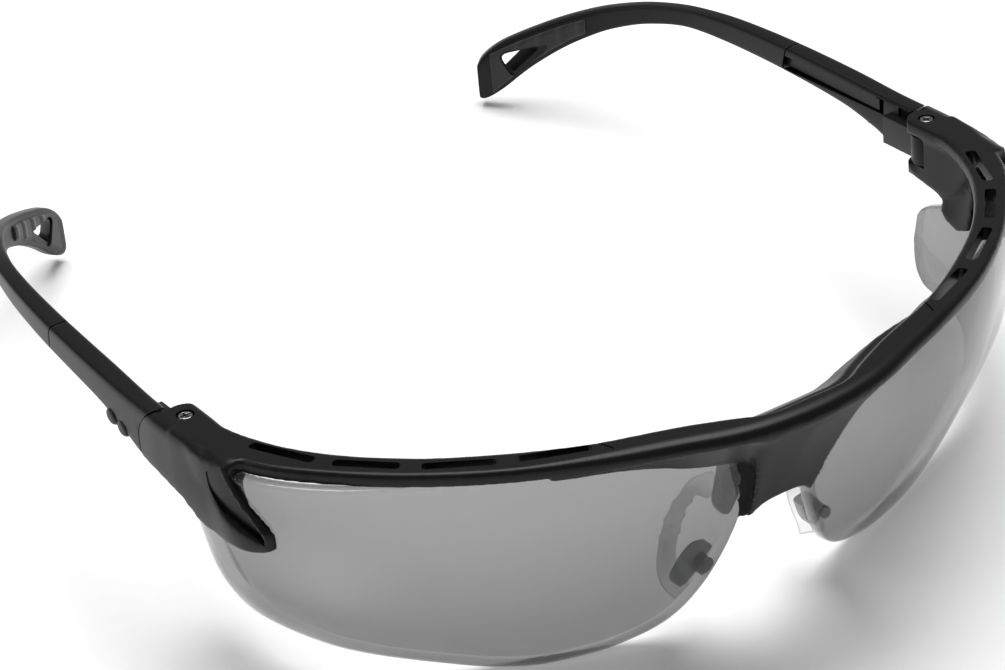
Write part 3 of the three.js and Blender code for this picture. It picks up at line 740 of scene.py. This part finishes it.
def lens_shell(wall):
    """The lens, from one end round to the other, with small chamfers along both edges"""

    def build(mesh):
        steps = 150
        places = []
        for i in range(-steps, steps + 1):
            share = abs(i) / steps
            reach = LENS_REACH * (0.75 * share + 0.25 * share**0.6)
            places.append(math.copysign(reach, i) if i else 0.0)
        sections = []
        edge = 0.3
        wide_at = ramp([(0, 0.0), (50, 0.0), (70, 2.1), (88, 2.1), (LENS_REACH, 0.8)])
        low_at = ramp([(-42, 0.3), (-34, 0.65), (-25, 1.0), (-11, 0.0), (0, 0.0)])

        def skin(degrees, z, offset=0.0):
            """The shell of the ellipsoid, a little fuller low down at the sides"""
            return lens_point(math.radians(degrees), z, offset + wide_at(abs(degrees)) * low_at(z))

        for degrees in places:
            low, high = LENS_BOTTOM(abs(degrees)), LENS_UPPER(abs(degrees))
            outer = [skin(degrees, z) for z in spread(low + edge, high - edge, 44)]
            inner = [skin(degrees, z, -wall) for z in spread(high - edge, low + edge, 44)]
            top = [skin(degrees, high, -edge), skin(degrees, high, edge - wall)]
            bottom = [skin(degrees, low, edge - wall), skin(degrees, low, -edge)]
            sections.append(outer + top + inner + bottom)
        loft(mesh, sections)

    return build


def build_lens(context):
    """One tinted shield across both eyes"""
    piece = shape("shield_lens", lens_shell(context.scene.glasses_sizes.lens_wall))
    return finish(piece, once(tinted_lens), "front", "tinted_lens", "lens", crease=50)


# ---------------------------------------------------------------- temples
# The temple's middle line, top, underside and thickness along Y
TEMPLE_X = ramp([(2, 70.3), (8, 70.2), (22, 69.9), (36, 69.35), (48, 68.4), (58, 66.9), (65, 64.9),
                 (71, 62.3), (76.5, 59.2), (81, 55.4), (85, 51.2), (89, 46.7), (92.6, 42.3)])
TEMPLE_TOP = ramp([(2, -0.3), (8, -0.3), (22, 0.2), (36, 0.6), (50, 0.8), (60, 0.5), (68, -0.3), (75, -1.8),
                   (81, -3.9), (86, -6.4), (90, -8.9), (92.6, -10.8)])
TEMPLE_LOW = ramp([(2, -9.8), (8, -9.2), (14, -7), (22, -5.2), (36, -4), (50, -3.2), (60, -2.8), (68, -3.8),
                   (75, -5.9), (81, -9.1), (86, -13.3), (90, -18), (92.6, -21.4)])
TEMPLE_THICK = ramp([(2, 3.4), (20, 3.6), (36, 3.4), (60, 2.8), (80, 2.7), (92.6, 2.5)])


def outward(y):
    """The direction square to the temple's plan curve, away from the head"""
    step = 0.2
    slope = (TEMPLE_X(y + step) - TEMPLE_X(y - step)) / (2 * step)
    return Vector((1, -slope)).normalized()


def temple_ring(y, top=None, low=None):
    """One section square to the temple's plan curve, with softly rounded corners"""
    out = outward(y)
    half = TEMPLE_THICK(y) / 2
    top = TEMPLE_TOP(y) if top is None else top
    low = TEMPLE_LOW(y) if low is None else low
    middle, tall = (top + low) / 2, (top - low) / 2
    ring = []
    count = 32
    for k in range(count):
        angle = 2 * math.pi * (k + 0.5) / count
        across = math.copysign(abs(math.cos(angle)) ** 0.42, math.cos(angle)) * half
        up = math.copysign(abs(math.sin(angle)) ** 0.3, math.sin(angle)) * tall
        ring.append((TEMPLE_X(y) + out.x * across, y + out.y * across, middle + up))
    return ring


def build_sleeve(context, side, sign):
    """The sleeve with its curved front seam, slanted rear end, slide channel and hinge knuckle"""
    flip = sign < 0
    sections = [temple_ring(y) for y in spread(2.2, 40.0, 60)]
    piece = shape("temple_sleeve", lambda mesh: loft(mesh, sections, flip))

    def ends(mesh):
        arc = sampled([(2.5, 1.5), (5.7, -1.6), (7.7, -4.2), (8.2, -7), (7.5, -12)], 14)
        side_prism(mesh, arc + [(-10, -12), (-10, 1.5)], *SIDE_SPAN, flip)
        side_prism(mesh, [(34.8, 3), (38.2, -9), (60, -9), (60, 3)], *SIDE_SPAN, flip)

    carve(piece, shape("ends", ends))

    def channel(mesh):
        block(mesh, (60, 11.2, -3.5), (70.4, 60, -0.9), flip)
        block(mesh, (60, 4.6, -4.2), (69.0, 7.6, -0.9), flip)

    carve(piece, shape("channel", channel))

    def knuckle(mesh):
        drum(mesh, (HINGE_X, 0), 2.6, -7.3, -2.5, flip)
        block(mesh, (66.8, 0.5, -7.3), (70.2, 9.6, -2.5), flip)

    carve(piece, shape("knuckle", knuckle), "UNION")
    soften(piece, 0.22)
    piece.name = f"sleeve_{side}"
    return finish(piece, once(black_nylon), f"temple_{side}", "nylon", f"temple_sleeve_{side}")


def soften(piece, width, segments=3):
    """Breaks the sharp edges that cutting leaves"""
    edge = piece.modifiers.new("soften", "BEVEL")
    edge.width = width
    edge.segments = segments
    edge.limit_method = "ANGLE"
    edge.angle_limit = math.radians(40)
    edge.use_clamp_overlap = True
    settle(piece)


def arm_end_height(y, end, reach):
    """How far the ear hook's end has rounded off: 1 before the end, 0 at its very tip"""
    into = (y - (end - reach)) / reach
    return math.sqrt(max(1 - max(into, 0.0) ** 2, 0.0))


def build_arm(context, side, sign):
    """The sliding arm: toothed tongue, long blade, down-turned ear hook and lanyard hole"""
    flip = sign < 0
    end = 92.5
    turns = spread(0.05, math.pi / 2 - 0.12, 16)
    places = spread(34.0, 88.0, 90) + [end - 4.2 * (1 - math.sin(a)) for a in turns]
    sections = []
    for y in places:
        keep = arm_end_height(y, end, 4.0)
        top, low = TEMPLE_TOP(y), TEMPLE_LOW(y)
        middle = (top + low) / 2
        rounded = 0.55 + 0.45 * keep
        high, deep = middle + (top - middle) * rounded, middle + (low - middle) * rounded
        sections.append(temple_ring(y, high, deep))
    piece = shape("arm", lambda mesh: loft(mesh, sections, flip))

    def front_end(mesh):
        side_prism(mesh, [(35.1, 3), (38.5, -9), (10, -9), (10, 3)], *SIDE_SPAN, flip)

    carve(piece, shape("front end", front_end))
    corners = [(46.3, -14.6), (50.6, -9.2), (44.8, -10.8)]

    def lanyard(mesh):
        front_prism(mesh, round_outline(corners, 1.3, 7), *HOOK_SPAN, flip)

    carve(piece, shape("lanyard", lanyard))
    soften(piece, 0.3)

    def tongue(mesh):
        block(mesh, (68.6, 12.5, -3.15), (70.1, 40, -1.2), flip)
        for tooth in range(5):
            y = 15.0 + tooth * 4
            side_prism(mesh, [(y - 1.9, -1.25), (y + 1.9, -1.25), (y, -0.35)], 68.6, 70.1, flip)

    carve(piece, shape("tongue", tongue), "UNION")
    piece.name = f"arm_{side}"
    return finish(piece, once(black_nylon), f"arm_{side}", "nylon", f"temple_arm_{side}")


def build_grip(context, side, sign):
    """A soft pad inlaid in the hook's inner face, with slanted grip ridges and a raised rim"""
    flip = sign < 0
    start, last_ridge, end = 79.0, 88, 91.0
    pitch, ridge, inset = 2.6, 0.22, 1.0

    def pad(mesh):
        sections = []
        for y in spread(start, end, 80):
            out = outward(y)
            wave = ridge * max(math.sin((y - start) * 2 * math.pi / pitch), 0.0) if y < last_ridge else 0.0
            base, face = TEMPLE_THICK(y) / 2 - 0.3, TEMPLE_THICK(y) / 2 + 0.4 + wave
            top, low = TEMPLE_TOP(y) - inset, TEMPLE_LOW(y) + inset
            ring = []
            for height, depth in ((low, base), (low + 0.1, face - 0.25), (low + 0.6, face)):
                ring.append((depth, height))
            for height in spread(low + 0.9, top - 0.9, 12):
                ring.append((face, height))
            for height, depth in ((top - 0.6, face), (top - 0.1, face - 0.25), (top, base)):
                ring.append((depth, height))
            sections.append([(TEMPLE_X(y) - out.x * d, y - out.y * d, h) for d, h in ring])
        loft(mesh, sections, flip)

    piece = shape("grip", pad)
    corners = [(46.3, -15.7), (52.0, -8.6), (44.1, -10.2)]

    def opening(mesh):
        front_prism(mesh, round_outline(corners, 2.0, 7), *HOOK_SPAN, flip)

    carve(piece, shape("opening", opening))
    piece.name = f"grip_{side}"
    return finish(piece, once(soft_touch), f"arm_{side}", "soft_touch", f"tip_grip_{side}")


def build_catch(context, side, sign):
    """The two glossy lobes of the length catch"""
    flip = sign < 0

    def lobe(mesh, y, z, size):
        turn = [2 * math.pi * k / 28 for k in range(28)]

        def ring(x, r):
            return [(x, y + r * 1.15 * math.cos(a), z + r * math.sin(a)) for a in turn]

        domed = [ring(72.0, size - 0.25), ring(72.15, size - 0.7)]
        loft(mesh, [ring(69.7, size), ring(71.6, size)] + domed, flip)

    def build(mesh):
        lobe(mesh, 13.4, -6.7, 1.4)
        lobe(mesh, 16.6, -6.1, 1.4)

    def bridge(mesh):
        block(mesh, (69.9, 13.4, -7.4), (71.5, 16.6, -5.4), flip)

    piece = shape("catch", build, bridge)
    mould(piece, 0.18, 2)
    piece.name = f"catch_{side}"
    return finish(piece, once(black_nylon), f"latch_{side}", "nylon", f"length_latch_{side}")


# ---------------------------------------------------------------- hinge hardware
def build_screw(context, side, sign):
    """A cross-head screw; its shank runs down through both hinge ears"""
    flip = sign < 0
    long, narrow = 0.8, 0.21

    def head(mesh):
        drum(mesh, (HINGE_X, 0), 1.15, -0.9, -0.1, flip, 48, 0.15)

    def shank(mesh):
        drum(mesh, (HINGE_X, 0), 0.8, -9.6, -0.85, flip, 32)

    def cross(mesh):
        for wide, deep in ((long, narrow), (narrow, long)):
            block(mesh, (HINGE_X - wide, -deep, -0.75), (HINGE_X + wide, deep, 1), flip)

    piece = shape("screw", head, shank)

    carve(piece, shape("cross", cross))
    soften(piece, 0.05, 2)
    piece.name = f"screw_{side}"
    return finish(piece, once(plated_steel), "front", "screw_steel", f"hinge_screw_{side}")


def build_insert(context, side, sign):
    """The brass ring in the lower ear that the screw runs into"""
    flip = sign < 0
    piece = shape("insert", lambda mesh: drum(mesh, (HINGE_X, 0), 1.45, -9.75, -8.6, flip, 40, 0.1))
    carve(piece, shape("bore", lambda mesh: drum(mesh, (HINGE_X, 0), 0.85, -12, 0, flip, 32)))
    piece.name = f"insert_{side}"
    return finish(piece, once(turned_brass), "front", "insert_brass", f"hinge_insert_{side}")


# ---------------------------------------------------------------- nose pieces
# The loop's middle line from the bracket down to the lens's nose corner
LOOP = [(6.8, -41.6, -17.8), (8.0, -40.6, -18.2), (9.6, -39.0, -19.4), (10.9, -37.4, -22.6),
        (11.9, -36.5, -26.6), (12.5, -36, -30.6), (12.8, -36.9, -33.6), (12.0, -38.8, -35.4)]


def build_loop(context, side, sign):
    """A flat soft loop from the bracket to the lens's nose corner, with ribs across it"""
    flip = sign < 0
    path = spline(LOOP)
    steps = 120

    def build(mesh):
        sections = []
        for t in spread(0.0, 1.0, steps):
            here = Vector(path(t))
            ahead = (Vector(path(min(t + 0.01, 1))) - Vector(path(max(t - 0.01, 0)))).normalized()
            across = Vector((-0.35, -0.9, 0.25)).cross(ahead).normalized()
            face = ahead.cross(across).normalized()
            ribbed = 0.2 < t < 0.64
            rib = max(math.cos((t - 0.42) * 2 * math.pi * 7.5), 0.0) ** 6 if ribbed else 0.0
            wide, thick = 1.95 + 0.35 * math.sin(math.pi * t), 0.55 + 0.4 * rib
            ring = []
            for k in range(20):
                angle = 2 * math.pi * k / 20
                a = math.copysign(abs(math.cos(angle)) ** 0.7, math.cos(angle)) * wide
                b = math.copysign(abs(math.sin(angle)) ** 0.7, math.sin(angle)) * thick
                ring.append(here + across * a + face * b)
            sections.append(ring)
        loft(mesh, sections, flip)

    piece = shape("loop", build)
    piece.name = f"nose_loop_{side}"
    finish(piece, once(clear_silicone), "front", "clear_elastomer", f"nose_pad_{side}", crease=60)
    return piece


def behind_lens(mesh, outline, depth, mirrored, back=2.5):
    """A block that stands behind the lens inside a frontal outline"""
    depths = (depth, depth + back)
    loft(mesh, [[(x, lens_y(x, z, -deep), z) for x, z in outline] for deep in depths], mirrored)


def build_bracket(context):
    """The saddle behind the bridge that both loops hang from"""
    half = [(0, -9), (4.6, -9.4), (7.2, -12), (7.9, -17.4), (8.1, -20.2), (7.0, -22.4), (5.6, -22.7),
            (4.4, -19.6), (3, -14.8), (0, -13.8)]
    outline = round_outline(half + [(-x, z) for x, z in reversed(half[1:-1])], 0.6, 4)
    piece = shape("bracket", lambda mesh: behind_lens(mesh, outline, 2.6, False, 1.8))
    soften(piece, 0.25)
    piece.name = "nose_bracket_piece"
    return finish(piece, once(bracket_plastic), "front", "smoke_plastic", "nose_bracket")


def build_clip(context, side, sign):
    """The clip that holds the loop's lower end behind the lens"""
    flip = sign < 0
    corners = [(7.9, -27.4), (10.6, -27.0), (12.4, -29.4), (13.4, -32.6), (12.6, -34.6), (11.4, -33.8),
               (9.9, -31.6)]
    outline = round_outline(corners, 0.9, 5)
    piece = shape("clip", lambda mesh: behind_lens(mesh, outline, 2.5, flip, 2.2))
    soften(piece, 0.25)
    piece.name = f"clip_{side}"
    return finish(piece, once(smoky_plastic), "front", "smoke_plastic", f"pad_clip_{side}")


def build_peg(context, side, sign):
    """The clip's oval peg, domed where it shows in front of the lens"""
    flip = sign < 0
    lean = math.radians(27)
    long, short = 1.5, 0.9
    middle_x, middle_z = 10.9, -29.2
    steps = 40

    def ring(scale, depth):
        points = []
        for k in range(steps):
            angle = 2 * math.pi * k / steps
            a, b = short * scale * math.cos(angle), long * scale * math.sin(angle)
            x = middle_x + a * math.cos(lean) + b * math.sin(lean)
            z = middle_z + a * math.sin(lean) - b * math.cos(lean)
            points.append((x, lens_y(x, z, depth), z))
        return points

    rings = [ring(1, -2.2), ring(1, 0.1), ring(0.88, 0.3), ring(0.6, 0.34)]
    piece = shape("peg", lambda mesh: loft(mesh, rings, flip))
    piece.name = f"peg_{side}"
    return finish(piece, once(smoky_plastic), "front", "smoke_plastic", f"clip_peg_{side}")


# ---------------------------------------------------------------- stage
# Where the camera stands and how it is turned, in the brow frame
CAMERA_PLACE = Vector((-252.32, -389.72, 245.79))
CAMERA_RIGHT = Vector((0.824581, -0.559175, -0.085966))
CAMERA_UP = Vector((0.335644, 0.361204, 0.869985))
SENSOR_WIDTH = 36.0
FOCAL_LENGTH = 125.37


def build_stage(context):
    """The table, two soft lights and the camera"""
    floor = shape("table", lambda mesh: bmesh.ops.create_grid(mesh, x_segments=2, y_segments=2, size=3.0))
    made, tree, shader, where = surface("matte white board", Roughness=0.9)
    speck = node(tree, "ShaderNodeTexNoise", [("Vector", where)], Scale=400.0)
    ramp_node = node(tree, "ShaderNodeValToRGB", [("Fac", speck.outputs["Fac"])])
    pale = linear(context.scene.glasses_colours.floor)
    ramp_node.color_ramp.elements[0].color = tuple(c * 0.97 for c in pale[:3]) + (1.0,)
    ramp_node.color_ramp.elements[1].color = pale
    tree.links.new(ramp_node.outputs["Color"], shader.inputs["Base Color"])
    floor.data.materials.append(made)

    world = bpy.data.worlds.new("studio")
    context.scene.world = world
    world.use_nodes = True
    back = world.node_tree.nodes["Background"]
    back.inputs["Color"].default_value = (1.0, 1.0, 1.0, 1.0)
    back.inputs["Strength"].default_value = 0.25

    def softbox(name, place, aim, size, power):
        lamp = bpy.data.lights.new(name, "AREA")
        lamp.shape = "RECTANGLE"
        lamp.size, lamp.size_y = size
        lamp.energy = power
        made = bpy.data.objects.new(name, lamp)
        context.scene.collection.objects.link(made)
        made.location = place
        made.rotation_euler = (Vector(aim) - Vector(place)).to_track_quat("-Z", "Y").to_euler()

    softbox("overhead softbox", (0.1, 0.25, 1.0), (0, 0, 0), (0.9, 0.7), 12.3)
    softbox("side strip", (-0.9, 0.5, 0.5), (0, 0, 0), (0.3, 0.8), 1.2)

    camera = bpy.data.objects.new("camera", bpy.data.cameras.new("camera"))
    context.scene.collection.objects.link(camera)
    camera.data.sensor_width = SENSOR_WIDTH
    camera.data.lens = FOCAL_LENGTH
    camera.data.clip_start = 0.01
    axes = Matrix((CAMERA_RIGHT, CAMERA_UP, CAMERA_RIGHT.cross(CAMERA_UP))).transposed()
    turn = Matrix.Rotation(-TILT, 3, "X") @ axes
    camera.matrix_world = Matrix.Translation(TO_ROW @ CAMERA_PLACE) @ turn.to_4x4()
    context.scene.camera = camera
    context.scene.view_settings.view_transform = "Standard"


# ---------------------------------------------------------------- operators
def operator(idname, label, doc, run):
    """One operator class that runs one builder"""

    def execute(self, context):
        run(context)
        return {"FINISHED"}

    name = "GLASSES_OT_" + idname.split(".")[1]
    return type(name, (bpy.types.Operator,), {
        "bl_idname": idname,
        "bl_label": label,
        "bl_options": {"REGISTER", "UNDO"},
        "__doc__": doc,
        "execute": execute,
    })


def each_side(build):
    def run(context):
        for side, sign in SIDES:
            build(context, side, sign)

    return run


OPERATORS = [
    operator("glasses.stage", "Studio", "Table, lights and camera", build_stage),
    operator("glasses.front", "Front frame", "Brow bar, bridge, endpieces and claws", build_front),
    operator("glasses.lens", "Lens", "One-piece shield lens", build_lens),
    operator("glasses.sleeves", "Temple sleeves", "Front part of each temple", each_side(build_sleeve)),
    operator("glasses.arms", "Temple arms", "Sliding rear part of each temple", each_side(build_arm)),
    operator("glasses.grips", "Ear grips", "Soft pads on the ear hooks", each_side(build_grip)),
    operator("glasses.catches", "Length catches", "Two-lobed catches", each_side(build_catch)),
    operator("glasses.screws", "Hinge screws", "Cross-head hinge screws", each_side(build_screw)),
    operator("glasses.inserts", "Hinge inserts", "Threaded inserts", each_side(build_insert)),
    operator("glasses.loops", "Nose loops", "Soft nose loops", each_side(build_loop)),
    operator("glasses.bracket", "Nose bracket", "Bracket behind the bridge", build_bracket),
    operator("glasses.clips", "Loop clips", "Clips at the lens's nose corners", each_side(build_clip)),
    operator("glasses.pegs", "Clip pegs", "Oval pegs through the lens", each_side(build_peg)),
]


class GLASSES_PT_panel(bpy.types.Panel):
    """Lists the builders and the sizes they read"""

    bl_label = "Safety glasses"
    bl_space_type = "VIEW_3D"
    bl_region_type = "UI"
    bl_category = "Glasses"

    def draw(self, context):
        for group in (context.scene.glasses_sizes, context.scene.glasses_colours):
            for name in group.__annotations__:
                self.layout.prop(group, name)
        for made in OPERATORS:
            self.layout.operator(made.bl_idname)


CLASSES = [GlassesSizes, GlassesColours, *OPERATORS, GLASSES_PT_panel]


def register():
    for made in CLASSES:
        bpy.utils.register_class(made)
    bpy.types.Scene.glasses_sizes = bpy.props.PointerProperty(type=GlassesSizes)
    bpy.types.Scene.glasses_colours = bpy.props.PointerProperty(type=GlassesColours)


def unregister():
    del bpy.types.Scene.glasses_sizes
    del bpy.types.Scene.glasses_colours
    for made in reversed(CLASSES):
        bpy.utils.unregister_class(made)


def main():
    register()
    for made in OPERATORS:
        group, name = made.bl_idname.split(".")
        getattr(getattr(bpy.ops, group), name)()


if __name__ == "__main__":
    main()
